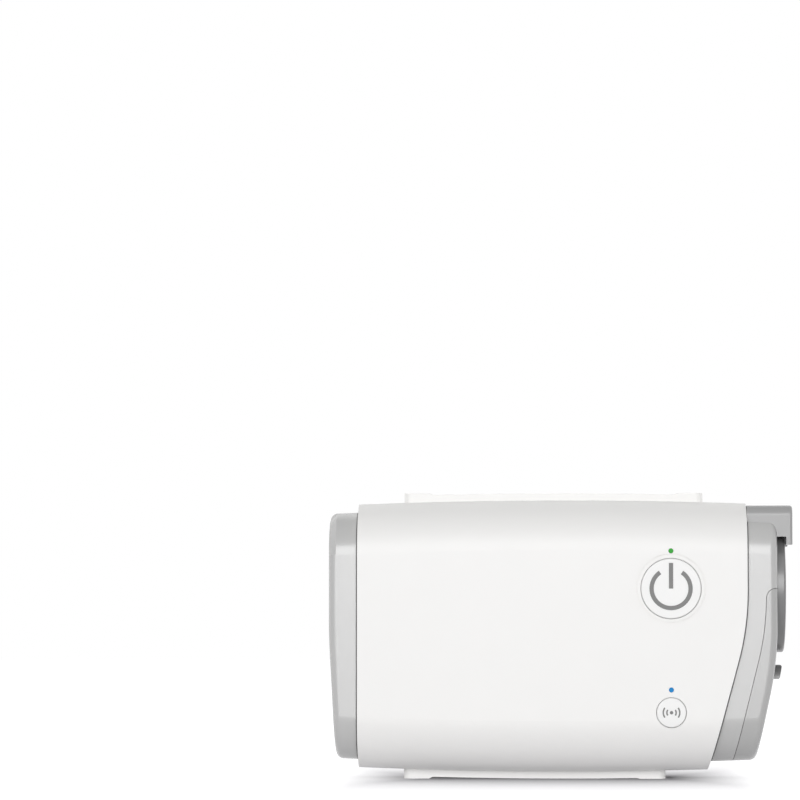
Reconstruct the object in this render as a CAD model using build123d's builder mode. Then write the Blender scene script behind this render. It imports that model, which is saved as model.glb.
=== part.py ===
"""Travel CPAP machine: a crowned two-piece casing round an air path.

Room air enters through the filter cover at the left end, passes a foam muffler,
a centrifugal blower and an outlet duct, and leaves at the round port under the
hood at the right end. Millimetres; +X runs from filter to port, +Y to the rear,
+Z up. The origin is the middle of the footprint, on the table.
"""

import os
from collections import namedtuple
from math import cos, radians, sin, sqrt, tan

from build123d import *

os.makedirs("parts", exist_ok=True)

# ---------------------------------------------------------------- overall
overall_length = 136.0
overall_height = 84.2
overall_depth = 52.0
foot_height = 0.8  # how far the rear feet stand behind the casing
rail_height = 2.2  # from the casing's crown to the plane of the rail pads

# ---------------------------------------------------------------- casing form
wall = 2.0
corner_radius = 15.0
crown_radius = 1600.0  # long bow of the top and bottom faces
face_radius = 2500.0  # long bow of the front and rear faces
reveal = 0.4  # gap between the casing's mouths and the end caps
end_round = 2.2  # rounding of the end caps' outer edges
fit = 0.15  # clearance between pieces that only locate each other
running = 0.05  # clearance between a plunger and its bore
seam = 0.15  # width of a visible parting line

body_depth = overall_depth - foot_height
core_y = -foot_height / 2  # the casing's mid-plane
body_low = rail_height
body_high = overall_height - rail_height
mid_z = overall_height / 2
port_z = body_high - 26.0  # the outlet's axis
half_length = overall_length / 2
half_depth = body_depth / 2
inner_y = half_depth - wall  # inside face of the front and rear walls
cap_inset = wall + reveal
cap_wall = 2.0

# An end or parting edge seen from the front: upright down to the knee, then
# leaning to the left by the angle (to the right where it is negative).
Lean = namedtuple("Lean", "x knee angle radius")
casing_left = Lean(-half_length + 8.5, mid_z, 0.0, 1.0)
casing_right = Lean(half_length - 13.5, mid_z + 2.5, 15.3, 80.0)
cover_end = Lean(-half_length, mid_z, -3.0, 150.0)
port_end = Lean(half_length - 4.6, mid_z - 7.3, 12.2, 100.0)
panel_edge = Lean(half_length - 8.0, port_z - 11.9, 14.0, 80.0)

# ---------------------------------------------------------------- controls
button_x = casing_right.x - 22.3
power_z = body_high - 26.2
power_radius = 8.8
power_travel = 0.8
wireless_z = body_low + 17.5
wireless_radius = 4.35
wireless_travel = 0.5
button_gap = 0.12  # between a button's edge and its hole
ring_radius = 10.0  # fine groove round the power button
ring_width = 0.35
ring_depth = 0.45
button_skin = 1.4
button_edge = 0.4
flange_reach = 0.6  # how far a button's flange passes behind the wall
flange_height = 0.8
power_lamp_z = power_z + 11.0
wireless_lamp_z = wireless_z + 6.6
lamp_radius = 0.7
lamp_flange = 0.4
lamp_depth = 0.8
led_size = 1.6

# ---------------------------------------------------------------- inner frame and board
front_bay = 9.0  # from the front wall's inside to the inner frame's back
chassis_thickness = 1.5
chassis_round = 4.0
board_thickness = 1.6
board_standoff = 2.0
board_round = 1.5
standoff_radius = 2.4
switch_size = 6.0
switch_height = 1.9
plunger_radius = 1.6
plunger_height = 0.9
plunger_depth = 0.5  # how far a plunger sits inside its switch at rest
screw_radius = 1.2
board_screw_radius = 0.9
board_head_radius = 1.8
board_head_height = 1.1
blower_screw_radius = 1.0
blower_head_radius = 2.2
blower_head_height = 1.4
recess_depth = 0.5  # crossed recess of a small screw
screw_grip = 6.0  # depth of the threaded holes
head_radius = 2.7
head_height = 1.8
head_recess = 1.0
head_seat = 8.0  # where the casing screws' heads bear, from the mid-plane
post_radius = 3.2
rear_post_radius = 3.9

chassis_back = -inner_y + front_bay
chassis_front = chassis_back - chassis_thickness
board_back = chassis_front - board_standoff
board_front = board_back - board_thickness
switch_front = board_front - switch_height
plunger_front = switch_front - plunger_height

# ---------------------------------------------------------------- blower
blower_x = -4.0
duct_low, duct_high = 12.0, 25.0  # the scroll's outlet, measured up from the shaft
blower_z = port_z - (duct_low + duct_high) / 2
scroll_start = 18.6
scroll_wall = 1.4
scroll_turn = 310.0
tongue_angle = 40.0
scroll_exit = 28.0
scroll_depth = 16.0
front_plate_depth = 8.0  # depth of the scroll's front half
eye_radius = 8.5
eye_rim = 2.5
eye_rim_height = 1.2
eye_round = 1.5
impeller_radius = 16.0
blade_count = 11
blade_thickness = 0.9
blade_inner = 8.6
blade_overhang = 0.4  # the blades end this far inside the discs' edge
blade_lag = radians(38)  # how far a blade's tip trails its root
blade_height = 9.0
disc_thickness = 1.2
disc_gap = 0.7  # between the impeller and the scroll's plates
hub_nose_radius = 4.0
hub_height = 6.0
shaft_radius = 1.5
shaft_reach = 8.1  # from the scroll's front plate to the shaft's end in the hub
motor_radius = 12.5
motor_length = 12.1
motor_gap = 1.0  # between the inner frame and the motor
can_wall = 1.0
bearing_radius = 4.0
bearing_width = 2.5
bearing_seat = 1.2  # wall round the rear bearing
rotor_radius = 5.6
air_gap = 0.4
magnet_length = 5.0
stator_teeth = 9
yoke_thickness = 1.8
tooth_width = 1.6
tooth_bite = 0.5  # how far a tooth's root runs into the yoke
coil_build = 0.8
coil_overhang = 0.5
coil_shoulder = 0.9  # bare tooth tip inside each coil
plug_width, plug_height = 9.0, 4.0
ear_thickness = 2.4
ear_radius = 4.6
ear_offset = 3.5  # from the scroll's front plate to the ears
grommet_neck = 3.0
grommet_flange = 1.2
coupling_length = 8.0
coupling_wall = 1.2
coupling_rib = 1.2
duct_wall = 1.4
duct_round = 1.5
seal_thickness = 1.0
blower_posts_at = [150.0, 210.0, 350.0]
blower_post_circle = 30.5

motor_front = chassis_back + motor_gap
scroll_front = motor_front + motor_length
scroll_split = scroll_front + front_plate_depth
scroll_back = scroll_front + scroll_depth
ear_front = scroll_front + ear_offset
ear_back = ear_front + ear_thickness
shaft_back = scroll_front + shaft_reach

# ---------------------------------------------------------------- places in the casing
post_left_x = blower_x - 36.0
post_right_x = casing_right.x - 13.0
post_low_z = body_low + 14.3
post_high_z = body_high - 10.5
casing_posts = [
    (post_left_x, post_low_z),
    (post_left_x, post_high_z),
    (blower_x + 23.0, post_low_z),
    (post_right_x, post_high_z),
]
chassis_left, chassis_right = post_left_x + 1.0, post_right_x + 1.5
chassis_low, chassis_high = body_low + 9.8, body_high - 8.0
board_left, board_right = post_left_x + 8.0, post_right_x - 2.0
board_low, board_high = chassis_low + 3.6, chassis_high
board_edge = 3.5  # from the board's edges to its screws
board_screw_places = [
    (board_left + board_edge, board_low + board_edge),
    (board_left + board_edge, board_high - board_edge),
    (board_right - board_edge, board_high - board_edge),
    (board_right - board_edge, board_low + 4.5 * board_edge),
]

# ---------------------------------------------------------------- inlet end
frame_x = casing_left.x + 3.8  # outer face of the inlet frame
frame_thickness = 2.0
filter_thickness = 5.0
gasket_thickness = 1.2
slot_width = 2.4
slot_pitch = 5.2
slot_length = 26.0
slots_per_row = 5
slot_row_gap = 5.0  # between the two rows of slots
grille_length = 44.0
grille_pitch = 4.2
grille_slots = 7
clip_width = 8.0
clip_thickness = 1.2
clip_reach = 4.6
clip_hook = 0.5
clip_hook_length = 1.5
clip_root = 3.0
clip_clearance = 0.3
muffler_bore = 7.0
edge_seal_width = 0.45  # what shows of the dark seals beside the casing's mouths
edge_seal_depth = 0.9
edge_seal_sink = 0.3

# ---------------------------------------------------------------- outlet and socket
panel_wall = 1.8
panel_corner = 3.0  # rounding of the lower panel's upper corner
bore_radius = 11.0
hub_wall = 2.2
hub_inner_x = port_end.x - 12.4
collar_radius = 18.8
collar_face_x = half_length - 2.0
collar_edge = 0.6
hood_half_width = 18.4
hood_top = body_high - 1.7
hood_low = hood_top - 9.2
hood_lip_low = hood_top - 11.5
hood_round = 3.0
hood_edge = 0.8
lip_inner_radius = 16.6
socket_z = body_low + 27.1
socket_radius = 3.2
socket_wall = 1.0
socket_depth = 9.5
socket_base = 2.0
visor_rise = 2.5  # how far the socket's visor stands out of the panel
visor_round = 0.6
pin_radius = 1.0
pin_recess = 4.0
pin_round = 0.4
socket_board_size = 13.0
socket_board_thickness = 1.2
sensor_depth, sensor_height, sensor_length = 7.0, 6.0, 5.0

# ---------------------------------------------------------------- rails and feet
rail_width = 20.0
rail_relief = 0.05  # how far the rail's bow stays above its pads' plane
rail_corner = 2.0
pad_length = 7.5
pad_slope = 1.0
peg_length = 3.0
peg_radius = 1.2
peg_y = 6.0
top_rail_span = (casing_left.x + 13.3, casing_right.x - 12.5)
bottom_rail_span = (casing_left.x + 13.1, casing_right.x - 23.7)
peg_x = [bottom_rail_span[0] + 12.4, bottom_rail_span[1] - 8.8]
foot_length, foot_width = 14.0, 6.0
foot_pocket = 0.7
foot_edge = 0.5
foot_places = [
    (x, z)
    for x in (casing_left.x + 15.5, casing_right.x - 18.5)
    for z in (body_low + 19.8, body_high - 19.6)
]


# ---------------------------------------------------------------- planes and shared forms
def facing(y, x=0.0, z=0.0):
    """Sketch plane seen from the front: its normal points to the user."""
    return Plane(origin=(x, core_y + y, z), x_dir=(1, 0, 0), z_dir=(0, -1, 0))


def across(x, z=0.0, y=0.0):
    """Sketch plane square to the length: local x runs to the rear, local y up."""
    return Plane(origin=(x, core_y + y, z), x_dir=(0, 1, 0), z_dir=(1, 0, 0))


def level(z):
    """Horizontal sketch plane on the casing's mid-plane."""
    return Plane(origin=(0, core_y, z), x_dir=(1, 0, 0), z_dir=(0, 0, 1))


def bow(radius, x):
    """How far a long bow of this radius has dropped at x."""
    return radius - sqrt(radius**2 - x**2)


def form(inset):
    """The casing's crowned form, drawn in by inset and running past both ends."""
    reach = overall_length / 2 + 10
    low, high = body_low + inset, body_high - inset
    near = half_depth - inset
    drop, recess = bow(crown_radius, reach), bow(face_radius, reach)
    with BuildPart() as barrel:
        with BuildSketch(facing(0)):
            with BuildLine():
                top = ThreePointArc((-reach, high - drop), (0, high), (reach, high - drop))
                base = ThreePointArc((-reach, low + drop), (0, low), (reach, low + drop))
                Line(top @ 0, base @ 0)
                Line(top @ 1, base @ 1)
            make_face()
        extrude(amount=body_depth, both=True)
        with BuildSketch(level(0)):
            with BuildLine():
                rear = ThreePointArc((-reach, near - recess), (0, near), (reach, near - recess))
                front = ThreePointArc((-reach, recess - near), (0, -near), (reach, recess - near))
                Line(rear @ 0, front @ 0)
                Line(rear @ 1, front @ 1)
            make_face()
        extrude(amount=overall_height + corner_radius, mode=Mode.INTERSECT)
        long_edges = barrel.edges().filter_by(lambda e: e.length > 1.5 * reach)
        fillet(long_edges, radius=corner_radius - inset)
    return barrel.part


def shifted(edge, dx):
    """The same edge moved along the length."""
    return edge._replace(x=edge.x + dx)


def edge_x(edge, z):
    """Where an edge lies at height z on its straight runs."""
    return edge.x - max(0.0, edge.knee - z) * tan(radians(edge.angle))


def draw_edge(edge, high, low):
    """Draws an edge from high to low: an upright, a tangent arc and the leaning run."""
    if not edge.angle:
        return Line((edge.x, high), (edge.x, low))
    reach = edge.radius * tan(radians(abs(edge.angle) / 2))
    upper = Line((edge.x, high), (edge.x, edge.knee + reach))
    knee = JernArc(upper @ 1, (0, -1), edge.radius, -edge.angle)
    return Line(knee @ 1, (edge_x(edge, low), low))


def slab(left, right, front=-overall_depth, rear=overall_depth):
    """Everything between two edges, from the front to the rear plane."""
    low, high = -corner_radius, overall_height + corner_radius
    with BuildPart() as block:
        with BuildSketch(facing(rear)):
            with BuildLine():
                draw_edge(left, high, low)
                draw_edge(right, high, low)
                Line((left.x, high), (right.x, high))
                Line((edge_x(left, low), low), (edge_x(right, low), low))
            make_face()
        extrude(amount=rear - front)
    return block.part


def upright(x):
    """A straight vertical edge."""
    return Lean(x, mid_z, 0.0, 1.0)


def rod(x, z, radius, front, rear):
    """Round solid that runs front to rear."""
    with BuildPart() as bar:
        with BuildSketch(facing(rear, x, z)):
            Circle(radius)
        extrude(amount=rear - front)
    return bar.part


def barrel_along(z, radius, left, right, y=0.0):
    """Round solid that runs along the length."""
    with BuildPart() as bar:
        with BuildSketch(across(left, z, y)):
            Circle(radius)
        extrude(amount=right - left)
    return bar.part


def rim_of(part, towards):
    """Edges round the end that looks along X, without the seams inside that end."""
    ends = [f for f in part.faces() if f.normal_at().X * towards > 0.9]
    edges = [e for f in ends for e in f.edges()]
    return [e for e in edges if sum(e.is_same(other) for other in edges) == 1]


def save(piece, name):
    """Labels a finished piece and writes its STEP file."""
    piece.part.label = name
    export_step(piece.part, f"parts/{name}.step")


def within(part, shape):
    """What two solids share."""
    with BuildPart() as shared:
        add(part)
        add(shape, mode=Mode.INTERSECT)
    return shared.part


def band(outer, inner, block):
    """The part of a block that lies between two forms."""
    with BuildPart() as ring:
        add(outer)
        add(block, mode=Mode.INTERSECT)
        add(inner, mode=Mode.SUBTRACT)
    return ring.part


outer_form = form(0)
inner_form = form(wall)
cap_form = form(cap_inset)
cap_core = form(cap_inset + cap_wall)

# A rib on each end piece sits in a groove that both casing halves share.
rib_bite = 0.5  # how deep a rib sits in the casing's wall
rib_width = 1.5
rib_form = form(wall - rib_bite)
groove_form = form(wall - rib_bite - fit)
tongue = 8.0  # how far the port-end cap reaches into the casing
cap_root = shifted(casing_right, -tongue)
left_rib = upright(frame_x + 0.2)
right_rib = shifted(cap_root, 1.0)
grooves = [
    within(groove_form, slab(shifted(rib, -fit), shifted(rib, rib_width + fit)))
    for rib in (left_rib, right_rib)
]

# A soft seal lies in a groove of each end piece, beside the casing's mouth.
seal_face = form(cap_inset + edge_seal_sink)
seal_floor = form(cap_inset + edge_seal_depth)


def edge_strip(edge, outer):
    """Narrow strip on both sides of an edge, from an outer form to the floor of the seal's groove."""
    return band(outer, seal_floor, slab(shifted(edge, -edge_seal_width), shifted(edge, edge_seal_width)))


# ---------------------------------------------------------------- casing halves
lap_height = 1.4
lap_thickness = 0.9
lap_form = form(wall - lap_thickness)
lap_room = form(wall - lap_thickness - fit)


def peg_hole(x, y, radius, top):
    """Upright round solid through the top or bottom wall."""
    z = body_high - wall - 1 if top else body_low - 1
    with BuildPart() as hole:
        with BuildSketch(level(z)):
            with Locations((x, y)):
                Circle(radius)
        extrude(amount=wall + 2)
    return hole.part


def half_casing(front, rear):
    """Outer skin between two planes, with its grooves and peg holes."""
    with BuildPart() as skin:
        add(band(outer_form, inner_form, slab(casing_left, casing_right, front, rear)))
        for groove in grooves:
            add(groove, mode=Mode.SUBTRACT)
        for top in (True, False):
            for x in peg_x:
                for y in (-peg_y, peg_y):
                    if front < y < rear:
                        add(peg_hole(x, y, peg_radius + fit, top), mode=Mode.SUBTRACT)
    return skin.part


def face_ring(x, z):
    """Fine round groove of even depth in the bowed front face."""
    with BuildPart() as ring:
        add(rod(x, z, ring_radius + ring_width / 2, -overall_depth, -inner_y))
        add(rod(x, z, ring_radius - ring_width / 2, -overall_depth, -inner_y), mode=Mode.SUBTRACT)
        add(form(ring_depth), mode=Mode.SUBTRACT)
    return ring.part


with BuildPart() as front_shell:
    add(half_casing(-half_depth, 0))
    # groove for the rear half's lap
    lap_slot = within(lap_room, slab(upright(-overall_length), upright(overall_length), -lap_height - fit, 1))
    add(lap_slot, mode=Mode.SUBTRACT)
    # bosses for the casing screws
    for x, z in casing_posts:
        add(within(form(wall / 2), rod(x, z, post_radius, -half_depth, chassis_front)))
        add(rod(x, z, screw_radius, chassis_front - screw_grip, chassis_front), mode=Mode.SUBTRACT)
    # holes for the buttons and lamps, with the fine ring round the power button
    add(face_ring(button_x, power_z), mode=Mode.SUBTRACT)
    for z, radius in ((power_z, power_radius), (wireless_z, wireless_radius)):
        add(rod(button_x, z, radius + button_gap, -overall_depth, -inner_y + 1), mode=Mode.SUBTRACT)
    for z in (power_lamp_z, wireless_lamp_z):
        add(rod(button_x, z, lamp_radius + running, -overall_depth, -inner_y + 1), mode=Mode.SUBTRACT)

with BuildPart() as rear_shell:
    add(half_casing(0, half_depth))
    # lap that runs into the front half
    add(band(lap_form, inner_form, slab(casing_left, casing_right, -lap_height, 0.5)))
    for groove in grooves:
        add(groove, mode=Mode.SUBTRACT)
    # hollow posts that clamp the inner frame on to the front bosses
    for x, z in casing_posts:
        add(within(form(wall / 2), rod(x, z, rear_post_radius, chassis_back, half_depth)))
        add(rod(x, z, screw_radius + fit, chassis_back, half_depth), mode=Mode.SUBTRACT)
        add(rod(x, z, head_radius + fit, head_seat, overall_depth), mode=Mode.SUBTRACT)
    # pockets for the feet
    for x, z in foot_places:
        with BuildSketch(facing(half_depth + 1, x, z)):
            SlotOverall(foot_length + 2 * fit, foot_width + 2 * fit)
        extrude(amount=1 + bow(face_radius, x) + foot_pocket, mode=Mode.SUBTRACT)

save(front_shell, "front_shell")
save(rear_shell, "rear_shell")

with BuildPart() as shell_screws:
    for x, z in casing_posts:
        add(rod(x, z, screw_radius, chassis_front - screw_grip + 1, head_seat))
        add(rod(x, z, head_radius, head_seat, head_seat + head_height))
        with BuildSketch(facing(head_seat + head_height, x, z)):
            Rectangle(head_radius, head_radius / 4)
            Rectangle(head_radius / 4, head_radius)
        extrude(amount=head_recess, mode=Mode.SUBTRACT)
save(shell_screws, "shell_screws")


# ---------------------------------------------------------------- rails and feet
def rail(top, span):
    """One rail: a crowned bar whose ends thicken into pads, with four pegs."""
    left, right = span
    sign = 1 if top else -1
    seat = body_high if top else body_low
    with BuildPart() as bar:
        with BuildSketch(facing(rail_width, 0, seat)):
            with BuildLine():
                pad = rail_height * sign
                middle = pad - rail_relief * sign
                root = -wall * sign
                pad_left, pad_right = left + pad_length, right - pad_length
                bow_left = (pad_left + pad_slope, middle - bow(crown_radius, pad_left) * sign)
                bow_right = (pad_right - pad_slope, middle - bow(crown_radius, pad_right) * sign)
                ThreePointArc(bow_left, (0, middle), bow_right)
                Polyline(bow_right, (pad_right, pad), (right, pad), (right, root))
                Polyline((right, root), (left, root), (left, pad), (pad_left, pad), bow_left)
            make_face()
        extrude(amount=2 * rail_width)
        with BuildSketch(level(mid_z)):
            with Locations(((left + right) / 2, 0)):
                RectangleRounded(right - left, rail_width, rail_corner)
        extrude(amount=overall_height, both=True, mode=Mode.INTERSECT)
        add(outer_form, mode=Mode.SUBTRACT)
        with BuildSketch(level(seat - (peg_length if top else 0))):
            with Locations([(x, y) for x in peg_x for y in (-peg_y, peg_y)]):
                Circle(peg_radius)
        extrude(amount=peg_length)
    return bar


top_rail = rail(True, top_rail_span)
bottom_rail = rail(False, bottom_rail_span)
save(top_rail, "top_rail")
save(bottom_rail, "bottom_rail")

with BuildPart() as rear_feet:
    for x, z in foot_places:
        with BuildSketch(facing(half_depth + foot_height, x, z)):
            SlotOverall(foot_length, foot_width)
        extrude(amount=foot_height + bow(face_radius, x) + foot_pocket)
    fillet(rear_feet.edges().filter_by(GeomType.LINE, reverse=True).group_by(Axis.Y)[-1], foot_edge)
save(rear_feet, "rear_feet")


# ---------------------------------------------------------------- inlet end
frame_form = form(wall + fit)
clip_inset = cap_inset + cap_wall + clip_hook
clip_inner_inset = clip_inset + clip_thickness
clip_form, clip_back = form(clip_inset), form(clip_inner_inset)
clip_room, clip_room_back = form(clip_inset - clip_clearance), form(clip_inner_inset + clip_clearance)
cover_root = frame_x - 2 * fit


def clip_band(outer, inner, left, right, width):
    """Two strips under the top and bottom walls, between two forms."""
    return band(outer, inner, slab(upright(left), upright(right), -width / 2, width / 2))


def slot_row(x, length, width, count, pitch, z, depth):
    """Row of upright round-ended slots, cut along the length."""
    with BuildPart() as row:
        with BuildSketch(across(x, z)):
            with GridLocations(pitch, 0, count, 1):
                SlotOverall(length, width, rotation=90)
        extrude(amount=depth)
    return row.part


with BuildPart() as inlet_frame:
    add(frame_form)
    add(slab(upright(frame_x), upright(frame_x + frame_thickness)), mode=Mode.INTERSECT)
    add(within(rib_form, slab(left_rib, shifted(left_rib, rib_width))))
    # grille for the air
    left, right = frame_x - 1, frame_x + frame_thickness + 1
    grille = slot_row(left, grille_length, slot_width, grille_slots, grille_pitch, mid_z, right - left)
    add(grille, mode=Mode.SUBTRACT)
    # slots for the cover's clips
    clip_slots = clip_band(clip_room, clip_room_back, left, right, clip_width + 2 * clip_clearance)
    add(clip_slots, mode=Mode.SUBTRACT)
save(inlet_frame, "inlet_frame")

with BuildPart() as filter_cover:
    add(cap_form)
    add(slab(cover_end, upright(cover_root)), mode=Mode.INTERSECT)
    fillet(rim_of(filter_cover.part, -1), end_round)
    add(within(cap_core, slab(shifted(cover_end, cap_wall), upright(cover_root + 1))), mode=Mode.SUBTRACT)
    # inlet slots in the end face, in two rows
    for row in (-1, 1):
        z = mid_z + row * (slot_length + slot_row_gap) / 2
        left = -half_length - 1
        slots = slot_row(left, slot_length, slot_width, slots_per_row, slot_pitch, z, 3 * cap_wall)
        add(slots, mode=Mode.SUBTRACT)
    # snap clips with a small hook at their tips
    tip = frame_x + clip_reach
    add(clip_band(cap_form, clip_back, cover_root - clip_root, cover_root, clip_width))
    add(clip_band(clip_form, clip_back, cover_root - clip_root, tip, clip_width))
    add(clip_band(form(clip_inset - clip_hook), clip_back, tip - clip_hook_length, tip, clip_width))
    add(edge_strip(casing_left, outer_form), mode=Mode.SUBTRACT)
save(filter_cover, "filter_cover")

with BuildPart() as inlet_edge_seal:
    add(edge_strip(casing_left, seal_face))
save(inlet_edge_seal, "inlet_edge_seal")

gasket_x = frame_x - gasket_thickness
filter_right = gasket_x - 2 * running
filter_inset = clip_inner_inset + clip_hook
filter_form = form(filter_inset)
gasket_width = 3.0
with BuildPart() as inlet_gasket:
    add(band(filter_form, form(filter_inset + gasket_width), slab(upright(gasket_x), upright(frame_x))))
save(inlet_gasket, "inlet_gasket")

with BuildPart() as air_filter:
    add(filter_form)
    add(slab(upright(filter_right - filter_thickness), upright(filter_right)), mode=Mode.INTERSECT)
save(air_filter, "air_filter")


# ---------------------------------------------------------------- outlet end
hub_radius = bore_radius + hub_wall
socket_outer = socket_radius + socket_wall
port_form = within(cap_form, slab(upright(frame_x), port_end))
with BuildPart() as rounded_end:
    add(port_form)
    fillet(rim_of(rounded_end.part, 1), end_round)
port_solid = rounded_end.part
port_core = within(cap_core, slab(upright(frame_x), shifted(port_end, -cap_wall)))
outside = overall_length


def lower_room(margin):
    """Space of the lower outer panel, drawn in by a margin at its parting line."""
    edge = shifted(panel_edge, margin)
    high, low = port_z - margin, -corner_radius
    with BuildPart() as room:
        with BuildSketch(facing(overall_depth)):
            with BuildLine():
                draw_edge(edge, high, low)
                Line((edge.x, high), (outside, high))
                Line((edge_x(edge, low), low), (outside, low))
                Line((outside, high), (outside, low))
            make_face()
        extrude(amount=2 * overall_depth)
        corner_edge = room.edges().filter_by(Axis.Y).sort_by_distance((edge.x, core_y, high))[0]
        fillet(corner_edge, panel_corner - margin)
    return room.part


def upper_room(floor):
    """Hollow of the end cap above a floor, out to its end wall."""
    edge = shifted(panel_edge, -2 * panel_wall)
    with BuildPart() as room:
        add(within(port_core, slab(edge, upright(outside))))
        with BuildSketch(level(floor)):
            Rectangle(2 * outside, 2 * overall_depth)
        extrude(amount=overall_height, mode=Mode.INTERSECT)
    return room.part


with BuildPart() as outlet_end_cap:
    add(port_solid)
    add(slab(cap_root, upright(outside)), mode=Mode.INTERSECT)
    add(within(port_core, slab(shifted(cap_root, -1), upright(outside))), mode=Mode.SUBTRACT)
    # bulkhead behind the lower panel, with a ledge over it
    add(within(port_solid, slab(shifted(panel_edge, -panel_wall), upright(outside))))
    add(upper_room(port_z + panel_wall), mode=Mode.SUBTRACT)
    add(lower_room(0), mode=Mode.SUBTRACT)
    # hub of the outlet
    add(within(port_solid, barrel_along(port_z, hub_radius, hub_inner_x, outside)))
    add(barrel_along(port_z, bore_radius, hub_inner_x - tongue, outside), mode=Mode.SUBTRACT)
    # rib for the casing's groove
    add(band(rib_form, cap_core, slab(right_rib, shifted(right_rib, rib_width))))
    # passage for the power socket
    add(barrel_along(socket_z, socket_outer + fit, hub_inner_x - 2, outside), mode=Mode.SUBTRACT)
    add(edge_strip(casing_right, outer_form), mode=Mode.SUBTRACT)
save(outlet_end_cap, "outlet_end_cap")

with BuildPart() as outlet_edge_seal:
    add(edge_strip(casing_right, seal_face))
save(outlet_edge_seal, "outlet_edge_seal")

with BuildPart() as port_panel:
    add(port_solid)
    add(lower_room(seam), mode=Mode.INTERSECT)
    add(port_core, mode=Mode.SUBTRACT)
    add(barrel_along(port_z, hub_radius + fit, hub_inner_x, outside), mode=Mode.SUBTRACT)
    add(barrel_along(socket_z, socket_outer + fit, hub_inner_x, outside), mode=Mode.SUBTRACT)
save(port_panel, "port_panel")

with BuildPart() as outlet_collar:
    add(barrel_along(port_z, collar_radius, port_end.x - end_round, collar_face_x))
    fillet(rim_of(outlet_collar.part, 1), collar_edge)
    add(port_solid, mode=Mode.SUBTRACT)
    add(barrel_along(port_z, bore_radius, hub_inner_x, outside), mode=Mode.SUBTRACT)
save(outlet_collar, "outlet_collar")


def arch(left, right, low, inner_radius):
    """Length of hood: rounded above, square below, and open round the collar's axis."""
    side, high = hood_half_width, hood_top
    foot = sqrt(inner_radius**2 - (low - port_z) ** 2)
    with BuildPart() as block:
        with BuildSketch(across(left)):
            with BuildLine():
                FilletPolyline((-side, low), (-side, high), (side, high), (side, low), radius=hood_round)
                Line((side, low), (foot, low))
                ThreePointArc((foot, low), (0, port_z + inner_radius), (-foot, low))
                Line((-foot, low), (-side, low))
            make_face()
        extrude(amount=right - left)
    return block.part


hood_root = casing_right.x + seam
lip_x = collar_face_x + fit
with BuildPart() as outlet_hood:
    add(arch(hood_root, half_length, hood_low, collar_radius + 2 * seam))
    # lip that covers the top of the collar's face
    add(arch(lip_x, half_length, hood_lip_low, lip_inner_radius))
    tip_edges = outlet_hood.faces().sort_by(Axis.X)[-1].edges()
    fillet([e for e in tip_edges if e.center().Z > hood_low + hood_round], hood_edge)
    add(port_solid, mode=Mode.SUBTRACT)
save(outlet_hood, "outlet_hood")

socket_x = edge_x(port_end, socket_z)  # the panel's face at the socket
socket_back = socket_x - socket_depth
visor_top = socket_z + socket_outer
visor_tip_x = edge_x(port_end, visor_top) + visor_rise


def visor():
    """Half-round visor over the plug, its end face leaning back with the panel."""
    lip_x = visor_tip_x - socket_outer * tan(radians(port_end.angle))
    with BuildPart() as cover:
        with BuildSketch(facing(socket_outer)):
            with BuildLine():
                root_x = socket_x - socket_wall
                top, bottom = (root_x, visor_top), (root_x, socket_z)
                FilletPolyline(top, (visor_tip_x, visor_top), (lip_x, socket_z), bottom, radius=visor_round)
                Line(bottom, top)
            make_face()
        extrude(amount=2 * socket_outer)
        add(barrel_along(socket_z, socket_outer, socket_back, outside), mode=Mode.INTERSECT)
    return cover.part


with BuildPart() as power_socket:
    add(within(port_solid, barrel_along(socket_z, socket_outer, socket_back - socket_base, outside)))
    add(visor())
    add(barrel_along(socket_z, socket_radius, socket_back, outside), mode=Mode.SUBTRACT)
save(power_socket, "power_socket")

with BuildPart() as power_pin:
    add(barrel_along(socket_z, pin_radius, socket_back, socket_x - pin_recess))
    fillet(rim_of(power_pin.part, 1), pin_round)
save(power_pin, "power_pin")


# ---------------------------------------------------------------- controls
button_room = form(wall + fit)


def button(z, radius):
    """Cap that follows the casing's face, with a flange behind the wall and a stem."""
    flange_back = -inner_y + flange_height
    with BuildPart() as cap:
        add(within(outer_form, rod(button_x, z, radius, -half_depth, flange_back)))
        add(within(button_room, rod(button_x, z, radius + flange_reach, -half_depth, flange_back)))
        skin_back = -half_depth + button_skin
        add(rod(button_x, z, radius - button_skin, skin_back, -half_depth / 2), mode=Mode.SUBTRACT)
        add(rod(button_x, z, plunger_radius, skin_back - button_skin / 2, plunger_front))
        fillet(cap.faces().sort_by(Axis.Y)[0].edges(), button_edge)
    return cap


power_button = button(power_z, power_radius)
wireless_button = button(wireless_z, wireless_radius)
save(power_button, "power_button")
save(wireless_button, "wireless_button")


def switch(z, travel):
    """Body of a push switch on the board, open for its plunger."""
    with BuildPart() as body:
        with BuildSketch(facing(board_front, button_x, z)):
            RectangleRounded(switch_size, switch_size, plunger_depth)
        extrude(amount=switch_height)
        bottom = switch_front + plunger_depth + travel + running
        add(rod(button_x, z, plunger_radius + running, switch_front - 1, bottom), mode=Mode.SUBTRACT)
    return body


def plunger(z):
    """Moving core of a push switch, resting against the button's stem."""
    with BuildPart() as core:
        add(rod(button_x, z, plunger_radius, plunger_front, switch_front + plunger_depth))
    return core


power_switch = switch(power_z, power_travel)
wireless_switch = switch(wireless_z, wireless_travel)
power_plunger = plunger(power_z)
wireless_plunger = plunger(wireless_z)
save(power_switch, "power_switch")
save(wireless_switch, "wireless_switch")
save(power_plunger, "power_plunger")
save(wireless_plunger, "wireless_plunger")


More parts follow.
